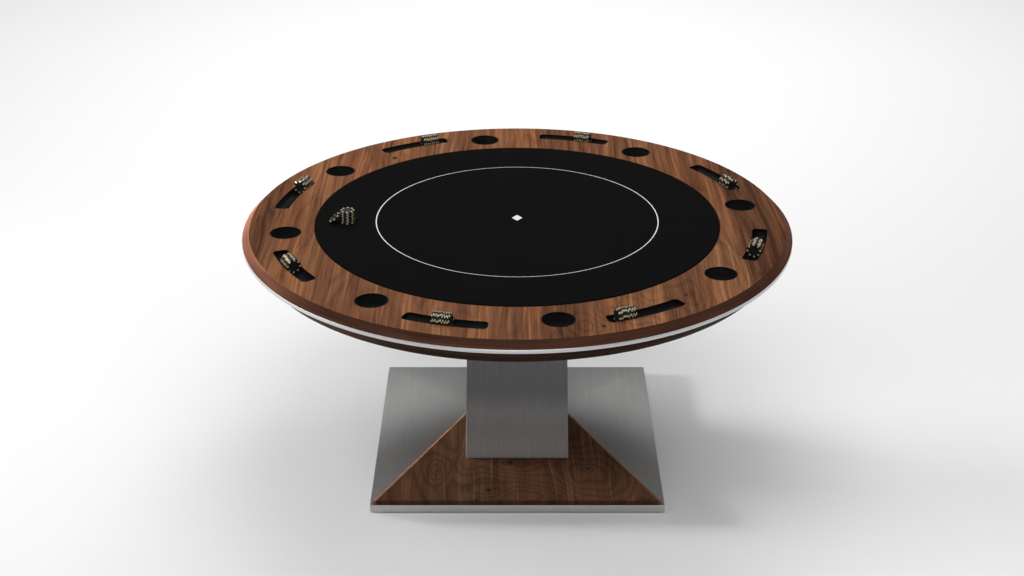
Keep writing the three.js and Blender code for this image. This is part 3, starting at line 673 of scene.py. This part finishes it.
# ------------------------------------------------------------------ walnut rail
S = Solid()
outer_prof = ring_profile([(R_RAIL_FLAT - 60, RAIL_TOP), (R_RAIL_FLAT, RAIL_TOP), (R_TABLE, RAIL_BOTTOM), (R_TABLE - 60, RAIL_BOTTOM)], [0, 1.4, 0, 0], 4)[1:-1]
outer = S.stack([(circle(0, 0, r, BIG), z) for r, z in outer_prof])
inner_prof = ring_profile([(R_PLAYFIELD + 60, RAIL_TOP), (R_PLAYFIELD + 1.5, RAIL_TOP), (R_PLAYFIELD, RAIL_TOP - 1.5), (R_PLAYFIELD, RAIL_BOTTOM)], [0, 0.7, 0.7, 0], 3)[1:]
inner = S.stack([(circle(0, 0, r, BIG), z) for r, z in inner_prof])
tops, bottoms = [inner[0]], [inner[-1]]
for phi in CUP_ANGLES:
    cx, cy = around(phi, CUP_AT)
    lv = [(circle(cx, cy, CUP_R_LIP + 0.3 + d, 72), z) for d, z in edge_round(0.45, RAIL_TOP)]
    lv += [(circle(cx, cy, CUP_R_LIP + 0.3, 72), RAIL_TOP - 2.3), (circle(cx, cy, CUP_R_BODY + 0.5, 72), RAIL_TOP - 2.3), (circle(cx, cy, CUP_R_BODY + 0.5, 72), RAIL_BOTTOM)]
    loops = S.stack(lv)
    tops.append(loops[0]); bottoms.append(loops[-1])
for phi in TRAY_ANGLES:
    lv = [(bend(slot_outline(-d), phi), z) for d, z in edge_round(0.45, RAIL_TOP)] + [(bend(slot_outline(0), phi), RAIL_BOTTOM)]
    loops = S.stack(lv)
    tops.append(loops[0]); bottoms.append(loops[-1])
S.cap(outer[0], tops)
S.cap(outer[-1], bottoms)
make("rail", S.v, S.f, walnut_rail_mat, "table", "walnut_rail", flat=S.flat, angle=25)

# ------------------------------------------------------------------ cloth, its foam and the bright band
cloth_prof = [(0, CLOTH_TOP)] + [(r, CLOTH_TOP) for r in (150, 300, 450, 540)] + [(557.0 + 5.95 * math.sin(rad(a)), 708.9 + 3.1 * math.cos(rad(a))) for a in range(0, 91, 15)]
cloth_prof += [(562.95, 708.45), (561.9, 708.45), (561.9, 708.9)] + [(557.0 + 4.9 * math.sin(rad(a)), 708.9 + 2.1 * math.cos(rad(a))) for a in range(75, -1, -25)] + [(300, CLOTH_TOP - 1.0), (0, CLOTH_TOP - 1.0)]
v, f = lathe(cloth_prof, BIG)
cloth = make("playing_cloth", v, f, cloth_mat, "table", "speed_cloth", angle=60)

v, f = lathe([(0, 710.8), (556, 710.8), (560.3, 709.6), (561.4, 708.4), (0, 708.4)], 180)
foam_mat = rubber("foam_underlay_mat", (0.030, 0.030, 0.032))
foam = make("foam_underlay", v, f, foam_mat, "table", "speed_cloth")

band = ring_profile([(R_SUBTOP + 0.3, TRIM_BOTTOM), (R_TABLE, TRIM_BOTTOM), (R_TABLE, RAIL_BOTTOM - 0.3), (R_SUBTOP + 0.3, RAIL_BOTTOM - 0.3)], [0, 0.5, 0.5, 0], 3)
v, f = lathe(band, BIG, closed=True)
make("trim_band", v, f, trim_mat, "table", "steel_trim_band", angle=35)

apron = ring_profile([(R_APRON_IN, APRON_BOTTOM), (R_APRON_BOTTOM, APRON_BOTTOM), (R_APRON_TOP, TRIM_BOTTOM - 0.3), (R_SUBTOP + 0.3, TRIM_BOTTOM - 0.3),
                      (R_SUBTOP + 0.3, SUBTOP_BOTTOM - 0.3), (R_APRON_IN, SUBTOP_BOTTOM - 0.3)], [1.2, 1.6, 0.5, 0, 0, 0.5], 4)
v, f = lathe(apron, BIG, closed=True)
make("apron", v, f, apron_mat, "table", "apron_ring", angle=35)

# ------------------------------------------------------------------ panel under the top
S = Solid()
o1 = S.stack([(circle(0, 0, R_SUBTOP, 240), RAIL_BOTTOM - 0.3), (circle(0, 0, R_SUBTOP, 240), SUBTOP_BOTTOM)])
tops, bottoms = [], []
for phi in CUP_ANGLES:
    cx, cy = around(phi, CUP_AT)
    l = S.stack([(circle(cx, cy, CUP_R_BODY + 0.7, 64), RAIL_BOTTOM - 0.3), (circle(cx, cy, CUP_R_BODY + 0.7, 64), SUBTOP_BOTTOM + 0.5), (circle(cx, cy, CUP_R_BODY + 1.2, 64), SUBTOP_BOTTOM)])
    tops.append(l[0]); bottoms.append(l[-1])
for x, y in MOUNT_SCREWS:
    l = S.stack([(circle(x, y, 3.2, 20), SUBTOP_BOTTOM + 15), (circle(x, y, 3.2, 20), SUBTOP_BOTTOM)])
    S.cap(l[0]); bottoms.append(l[-1])
S.cap(o1[0], tops)
S.cap(o1[-1], bottoms)
make("subtop", S.v, S.f, ply_mat, "table", "subtop_panel", flat=S.flat, angle=35)

# ------------------------------------------------------------------ cup holders
cup_prof = [(0, CUP_FLOOR)] + [(36.0 + 2.2 * math.sin(rad(a)), CUP_FLOOR + 2.2 - 2.2 * math.cos(rad(a))) for a in range(0, 91, 22)]
cup_prof += [(CUP_R_BODY, RAIL_TOP - 2.0), (CUP_R_LIP - 0.3, RAIL_TOP - 2.0), (CUP_R_LIP, RAIL_TOP - 1.7), (CUP_R_LIP, RAIL_TOP - 0.5), (CUP_R_LIP - 0.15, RAIL_TOP - 0.15), (CUP_R_LIP - 0.5, RAIL_TOP)]
cup_prof += [(CUP_R_BODY - 0.2 - 1.1 * math.sin(rad(a)), RAIL_TOP - 1.2 + 1.2 * math.cos(rad(a))) for a in range(0, 91, 18)]
cup_prof += [(38.6, 680.0), (37.4, CUP_FLOOR + 9.0)]
cup_prof += [(32.3 + 5.0 * math.cos(rad(a)), CUP_FLOOR + 7.5 - 5.0 * math.sin(rad(a))) for a in range(10, 91, 16)]
cup_prof += [(31.0, CUP_FLOOR + 2.5), (24.0, CUP_FLOOR + 2.5), (23.4, CUP_FLOOR + 2.1), (22.8, CUP_FLOOR + 2.5), (0, CUP_FLOOR + 2.5)]
for i, phi in enumerate(CUP_ANGLES):
    x, y = around(phi, CUP_AT)
    v, f = lathe(cup_prof, 72, at=(x, y, 0), phase=rad(phi))
    make(f"cup_{i + 1}_liner", v, f, cup_mat, f"cup_{i + 1}", f"cup_holder_{i + 1}", angle=40)

# ------------------------------------------------------------------ chip trays
def tray_height(s, d, half):
    z = TROUGH_Z - math.sqrt(max(TROUGH_R ** 2 - d * d, 0.0))
    e, R = half - abs(s), 9.0
    if e < R:
        z = max(z, TROUGH_Z - TROUGH_R + R - math.sqrt(max(R * R - (R - e) ** 2, 0.0)))
    return min(z, RAIL_TOP - 0.8)


mouth = slot_outline(TRAY_LIP)
half_in = rad(TRAY_ARC) * TRAY_AT - TRAY_LIP
grid = []
for i in range(-52, 53):
    for j in range(-9, 10):
        s, d = i * 2.06, j * 2.1
        if abs(s) < half_in - 0.9 and abs(d) < TRAY_HALF - TRAY_LIP - 0.7:
            cs, cd = half_in - (TRAY_CORNER - TRAY_LIP), TRAY_HALF - TRAY_LIP - (TRAY_CORNER - TRAY_LIP)
            if abs(s) > cs and abs(d) > cd and math.hypot(abs(s) - cs, abs(d) - cd) > TRAY_CORNER - TRAY_LIP - 0.8:
                continue
            grid.append((s, d))
tray_tris = fill(mouth, [], grid)
for i, phi in enumerate(TRAY_ANGLES):
    S = Solid()
    o1 = S.stack([(bend(slot_outline(0.3 + 0.25), phi), RAIL_TOP), (bend(slot_outline(0.3), phi), RAIL_TOP - 0.25), (bend(slot_outline(0.3), phi), RAIL_BOTTOM)])
    S.cap(o1[-1])
    m0 = S.loop(bend(slot_outline(TRAY_LIP - 0.25), phi), RAIL_TOP)
    m1 = S.loop(bend(mouth, phi), RAIL_TOP - 0.25)
    S.cap(o1[0], [m0])
    s0 = len(S.v)
    for (x, y), (s, d) in zip(bend(mouth, phi), mouth):
        S.v.append((x, y, tray_height(s, d, half_in)))
    m2 = list(range(s0, s0 + len(mouth)))
    S.wall([m0, m1, m2])
    for (x, y), (s, d) in zip(bend(grid, phi), grid):
        S.v.append((x, y, tray_height(s, d, half_in)))
    for t in tray_tris:
        S.f.append(tuple(s0 + k for k in t))
    make(f"tray_{i + 1}_liner", S.v, S.f, tray_mat, "table", f"chip_tray_{i + 1}", flat=S.flat, angle=40)

# ------------------------------------------------------------------ chips
CHIP_SIDES = 56
chip_half = CHIP_T / 2
chip_prof = [(0, chip_half - 0.16), (11.9, chip_half - 0.16), (12.2, chip_half - 0.04), (12.6, chip_half - 0.01), (18.7, chip_half - 0.01), (19.2, chip_half - 0.09), (19.42, chip_half - 0.26),
             (19.5, chip_half - 0.55)]
chip_prof = chip_prof + [(r, -z) for r, z in reversed(chip_prof)]
chip_v, chip_f = lathe(chip_prof, CHIP_SIDES)
chip_v = np.array(chip_v)


def chips(name, count, place, body, node, seed, start=32.5, twist=(3.0, 9.0)):
    """count chips along their common axis; place(local points) gives the row frame."""
    rng = random.Random(seed)
    v, f, attr = [], [], []
    side = 1
    for i in range(count):
        side = -side if rng.random() < 0.8 else side
        a = rad(start + side * rng.uniform(*twist))
        h = (i - (count - 1) / 2) * CHIP_T
        dx, dy = (rng.uniform(-0.22, 0.22), rng.uniform(-0.22, 0.22)) if count > 1 else (0, 0)
        rot = chip_v @ np.array([[math.cos(a), math.sin(a), 0], [-math.sin(a), math.cos(a), 0], [0, 0, 1]])
        s = len(v)
        v += [tuple(p) for p in place(rot + np.array([dx, dy, h]))]
        attr += [tuple(p) for p in chip_v]
        f += [tuple(k + s for k in q) for q in chip_f]
    return make(name, v, f, chip_mat, body, node, angle=40, attr=attr)


for i, phi in enumerate(ROLL_ANGLES):
    x, y = around(phi, TRAY_AT - 0.2)
    t = np.array([math.cos(rad(phi)), math.sin(rad(phi)), 0.0])      # along the roll
    n = np.array([math.sin(rad(phi)), -math.cos(rad(phi)), 0.0])     # outwards
    up = np.array([0.0, 0.0, 1.0])
    place = lambda p, t=t, n=n, x=x, y=y: np.array([x, y, ROLL_Z]) + np.outer(p[:, 0], n) + np.outer(p[:, 1], up) + np.outer(p[:, 2], t)
    chips(f"roll_{i + 1}_chips", ROLL_CHIPS, place, f"roll_{i + 1}", f"chip_roll_{i + 1}", 40 + i)
chips("stack_chips", STACK_CHIPS, lambda p: p + np.array([STACK_AT[0], STACK_AT[1], CLOTH_TOP + 0.3 + CHIP_T * STACK_CHIPS / 2]), "stack", "chip_stack", 71, start=28.6, twist=(2.0, 7.0))
a = rad(LEAN)
reach, lift = CHIP_R * math.cos(a) + CHIP_T / 2 * math.sin(a), CHIP_R * math.sin(a) + CHIP_T / 2 * math.cos(a)
lean_at = np.array([STACK_AT[0] - CHIP_R - 0.5 - reach, STACK_AT[1] + 1, CLOTH_TOP + 0.3 + lift])
ry = np.array([[math.cos(-a), 0, math.sin(-a)], [0, 1, 0], [-math.sin(-a), 0, math.cos(-a)]])
chips("lone_chip_disc", 1, lambda p: p @ ry.T + lean_at, "lone_chip", "leaning_chip", 85)

# ------------------------------------------------------------------ pedestal
S = Solid()
W = 2.5
lv = [(rrect(COL_FOOT[0], COL_FOOT[1], 2.2, 5), COL_Z0), (rrect(COL_HEAD[0], COL_HEAD[1], 2.2, 5), COL_Z1),
      (rrect(COL_HEAD[0] - W, COL_HEAD[1] - W, 0.6, 5), COL_Z1), (rrect(COL_FOOT[0] - W, COL_FOOT[1] - W, 0.6, 5), COL_Z0)]
loops = S.stack(lv)
S.wall([loops[-1], loops[0]])
make("column", S.v, S.f, column_mat, "table", "column_shell", angle=30)


def plate(name, half, z0, z1, corner, mat, node, holes=(), edge=0.7):
    S = Solid()
    top = [(rrect(half - edge + edge * math.sin(rad(q)), half - edge + edge * math.sin(rad(q)), corner, 5), z1 - edge + edge * math.cos(rad(q))) for q in (0, 30, 60, 90)]
    bot = [(rrect(half - edge + edge * math.cos(rad(q)), half - edge + edge * math.cos(rad(q)), corner, 5), z0 + edge - edge * math.sin(rad(q))) for q in (0, 30, 60, 90)]
    o = S.stack(top + bot)
    tops, bots = [], []
    for x, y, r in holes:
        l = S.stack([(circle(x, y, r + 0.3, 28), z1), (circle(x, y, r, 28), z1 - 0.3), (circle(x, y, r, 28), z0 + 0.3), (circle(x, y, r + 0.3, 28), z0)])
        tops.append(l[0]); bots.append(l[-1])
    S.cap(o[0], tops)
    S.cap(o[-1], bots)
    return make(name, S.v, S.f, mat, "table", node, flat=S.flat, angle=35)


plate("mount_plate", 260.0, 664.0, 669.7, 8.0, black_steel_mat, "top_mount_plate",
      [(x, y, 3.2) for x, y in MOUNT_SCREWS] + [(x, y, 5.3) for x, y in HEAD_BOLTS])
plate("ballast", 403.2, 10.7, 22.7, 2.0, black_steel_mat, "base_ballast_plate",
      [(x, y, 5.3) for x, y in HEAD_BOLTS] + [(sx * FOOT_AT, sy * FOOT_AT, 5.5) for sx in (-1, 1) for sy in (-1, 1)])

S = Solid()
E = 1.1
lv = [(rrect(PLATE_HALF - E + E * math.sin(rad(q)), PLATE_HALF - E + E * math.sin(rad(q)), 3.0, 5), PLATE_TOP - E + E * math.cos(rad(q))) for q in (0, 22, 45, 67, 90)]
lv += [(rrect(PLATE_HALF, PLATE_HALF, 3.0, 5), PLATE_BOTTOM + 0.5), (rrect(PLATE_HALF - 0.4, PLATE_HALF - 0.4, 3.0, 5), PLATE_BOTTOM), (rrect(PLATE_HALF - 2, PLATE_HALF - 2, 1.5, 5), PLATE_BOTTOM),
       (rrect(PLATE_HALF - 2, PLATE_HALF - 2, 1.5, 5), PLATE_TOP - 2)]
o = S.stack(lv)
hs = [S.stack([(circle(x, y, 5.3, 28), PLATE_TOP), (circle(x, y, 5.3, 28), PLATE_TOP - 2)]) for x, y in HEAD_BOLTS]
S.cap(o[0], [h[0] for h in hs])
S.cap(o[-1], [h[-1] for h in hs])
make("base_cover", S.v, S.f, base_mat, "table", "base_shell", flat=S.flat, angle=30)


def softened(node, name, mat, width=0.6, angle=30, body="table"):
    """A CAD solid's shape again, its coplanar triangles merged and its sharp edges eased."""
    me = NODES[node].data.copy()
    me.name = name
    bm = bmesh.new()
    bm.from_mesh(me)
    bmesh.ops.remove_doubles(bm, verts=bm.verts, dist=1e-6)
    bmesh.ops.dissolve_limit(bm, angle_limit=rad(1.0), verts=bm.verts, edges=bm.edges)
    sharp = [e for e in bm.edges if len(e.link_faces) == 2 and e.calc_face_angle() > rad(angle)]
    bmesh.ops.bevel(bm, geom=sharp, offset=width * 0.001, segments=2, profile=0.5, affect="EDGES", clamp_overlap=True)
    for fc in bm.faces:
        fc.smooth = False
    bmesh.ops.recalc_face_normals(bm, faces=bm.faces)
    bm.to_mesh(me)
    bm.free()
    for k in [a.name for a in me.attributes if a.name.startswith("custom") or a.name == "sharp_face"]:
        pass
    me.materials.clear()
    me.materials.append(mat)
    me.update()
    o = bpy.data.objects.new(name, me)
    bpy.context.scene.collection.objects.link(o)
    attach(o, body)
    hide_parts(node)
    return o


softened("base_walnut_front", "base_wood_front", base_walnut_mat, 0.9)
softened("base_walnut_apex", "base_wood_apex", base_walnut_mat, 0.9)
for n in ("column_head_flange", "column_foot_flange"):
    NODES[n].data.materials.clear()
    NODES[n].data.materials.append(black_steel_mat)
NODES["playfield_board"].data.materials.clear()
NODES["playfield_board"].data.materials.append(ply_mat)


def hexbolt(name, node, x, y, z, up, head_r, head_h, shank_r, length):
    """Hex head with a chamfered crown and a pressed dimple, and its shank. up is +1 where the shank points up."""
    S = Solid()
    n = 36
    ap = head_r * math.cos(rad(30))

    def hexagon(scale=1.0):
        out = []
        for i in range(n):
            q = 2 * math.pi * i / n
            w = (q % (math.pi / 3)) - math.pi / 6
            r = ap / math.cos(w) * scale
            out.append((x + r * math.cos(q), y + r * math.sin(q)))
        return out

    levels = [(circle(x, y, ap * 0.42, n), -head_h + 0.5), (circle(x, y, ap * 0.52, n), -head_h), (circle(x, y, ap * 0.93, n), -head_h)]
    loops = [S.loop(p, z + up * h) for p, h in levels]
    s = len(S.v)
    for px, py in hexagon():
        r = math.hypot(px - x, py - y)
        S.v.append((px, py, z + up * (-head_h + max(0.0, (r - ap * 0.93)) * 0.55)))
    loops.append(list(range(s, s + n)))
    loops.append(S.loop(hexagon(), z))
    loops.append(S.loop(circle(x, y, shank_r, n), z))
    loops.append(S.loop(circle(x, y, shank_r, n), z + up * (length - 0.7)))
    loops.append(S.loop(circle(x, y, shank_r - 0.7, n), z + up * length))
    S.wall(loops)
    S.cap(loops[0])
    S.cap(loops[-1])
    return make(name, S.v, S.f, fastener_mat, "table", node, flat=S.flat, angle=28)


for i, (x, y) in enumerate(MOUNT_SCREWS):
    hexbolt(f"screw_{i + 1}", f"mount_screw_{i + 1}", x, y, 663.7, 1, 6.0, 3.4, 2.8, 19.0)
for i, (x, y) in enumerate(HEAD_BOLTS):
    hexbolt(f"upper_bolt_{i + 1}", f"head_bolt_{i + 1}", x, y, COL_Z1 - 6.3, 1, 8.5, 6.0, 4.9, 11.0)
    hexbolt(f"lower_bolt_{i + 1}", f"foot_bolt_{i + 1}", x, y, COL_Z0 + 6.3, -1, 8.5, 6.0, 4.9, 17.0)

k = 0
for sy in (-1, 1):
    for sx in (-1, 1):
        k += 1
        prof = [(0, 0), (20.2, 0), (21.6, 0.4), (22.3, 1.1), (22.5, 2.0), (22.4, 3.0), (21.6, 4.1), (19.8, 4.9), (14.0, 5.5), (9.6, 6.0), (9.0, 6.4), (9.0, 9.2), (8.7, 9.5), (4.9, 9.5), (4.9, 21.5), (4.4, 22.0), (0, 22.0)]
        v, f = lathe(prof, 64, at=(sx * FOOT_AT, sy * FOOT_AT, 0))
        make(f"leveller_{k}", v, f, rubber_mat, f"foot_{k}", f"level_foot_{k}", angle=35)

# ------------------------------------------------------------------ floor, light, camera
M = Mat("floor_mat")
n1 = M.noise(M.co(), 1.3, 2.0)
floor_mat = M.set(color=M.mix(n1, (0.795, 0.795, 0.795), (0.805, 0.805, 0.805)), rough=0.85, spec=0.15)
me = bpy.data.meshes.new("floor")
R = 14.0
fv, ff = lathe([(0, 0), (3000, 0), (R * 1000, 0)], 96)
me.from_pydata([tuple(c * 0.001 for c in p) for p in fv], [], ff)
me.materials.append(floor_mat)
floor = bpy.data.objects.new("floor", me)
bpy.context.scene.collection.objects.link(floor)


def area(name, at, target, size_x, size_y, power, color=(1, 1, 1), spread=180):
    d = bpy.data.lights.new(name, "AREA")
    d.shape, d.size, d.size_y, d.energy, d.color = "RECTANGLE", size_x, size_y, power, color
    d.spread = rad(spread)
    o = bpy.data.objects.new(name, d)
    bpy.context.scene.collection.objects.link(o)
    o.location = at
    o.rotation_euler = (Vector(target) - Vector(at)).to_track_quat("-Z", "Y").to_euler()
    o.visible_camera = False
    return o


area("overhead_key", (0.0, 0.2, 3.8), (0.0, 0.2, 0.0), 2.0, 2.0, 22)
area("overhead_backdrop", (0.0, 4.0, 5.2), (0.0, 4.0, 0.0), 5.0, 2.6, 227)
area("left_high", (-2.4, -0.3, 3.4), (-0.8, 0.0, 0.0), 1.6, 1.6, 27)
area("left_floor", (-3.0, -0.2, 0.42), (0.0, 0.0, 0.60), 2.4, 0.5, 17)
for rim_name, rim_side, rim_power in (("left_rim", -1, 50.0), ("right_rim", 1, 5.0)):
    rim = area(rim_name, (rim_side * 1.9, 0.42, 0.40), (rim_side * 0.73, 0.12, 0.700), 0.9, 0.16, rim_power, spread=60)
    rim.visible_glossy = False
area("front_low", (0.0, -4.0, 0.5), (0.0, 0.0, 0.3), 2.4, 0.8, 19)

world = bpy.data.worlds.new("studio")
bpy.context.scene.world = world
world.use_nodes = True
bg = world.node_tree.nodes["Background"]
bg.inputs[0].default_value = (1.0, 1.0, 1.0, 1.0)
wt = world.node_tree


def world_range(sock, a, b, lo, hi):
    n = wt.nodes.new("ShaderNodeMapRange")
    n.clamp = True
    wt.links.new(sock, n.inputs["Value"])
    for k, v in (("From Min", a), ("From Max", b), ("To Min", lo), ("To Max", hi)):
        n.inputs[k].default_value = v
    return n.outputs[0]


def world_times(a, b):
    n = wt.nodes.new("ShaderNodeMath")
    n.operation = "MULTIPLY"
    wt.links.new(a, n.inputs[0])
    wt.links.new(b, n.inputs[1])
    return n.outputs[0]


# soft light high behind the camera and lower on the same side, with a weak glow low at the back
wc = wt.nodes.new("ShaderNodeTexCoord")
ws = wt.nodes.new("ShaderNodeSeparateXYZ")
wt.links.new(wc.outputs["Generated"], ws.inputs[0])
wz, wy = ws.outputs[2], ws.outputs[1]
low = world_times(world_range(wz, 0.0, 0.001, 0.0, 1.0), world_range(wz, 0.26, 0.42, 1.0, 0.0))
mid = world_times(world_range(wz, 0.26, 0.42, 0.0, 1.0), world_range(wz, 0.68, 0.84, 1.0, 0.0))
high = world_range(wz, 0.68, 0.84, 0.0, 1.0)


def world_plus(a, b):
    n = wt.nodes.new("ShaderNodeMath")
    wt.links.new(a, n.inputs[0])
    wt.links.new(b, n.inputs[1])
    return n.outputs[0]


sky = world_plus(world_times(high, world_range(wy, -0.2, 0.2, 1.61, 0.0)), world_times(mid, world_range(wy, -0.2, 0.2, 0.72, 0.0)))
wt.links.new(world_plus(sky, world_times(low, world_range(wy, -0.2, 0.2, 0.0, 0.30))), bg.inputs[1])

cam = bpy.data.cameras.new("camera")
cam.lens, cam.sensor_width, cam.sensor_fit = 58.21, 36.0, "HORIZONTAL"
cam.clip_start, cam.clip_end = 0.05, 100.0
camera = bpy.data.objects.new("camera", cam)
bpy.context.scene.collection.objects.link(camera)
camera.location = (-0.01435, -4.26835, 2.50805)
camera.rotation_euler = (rad(64.75), 0, 0)
bpy.context.scene.camera = camera
bpy.context.scene.view_settings.view_transform = "Standard"
bpy.context.scene.view_settings.look = "None"
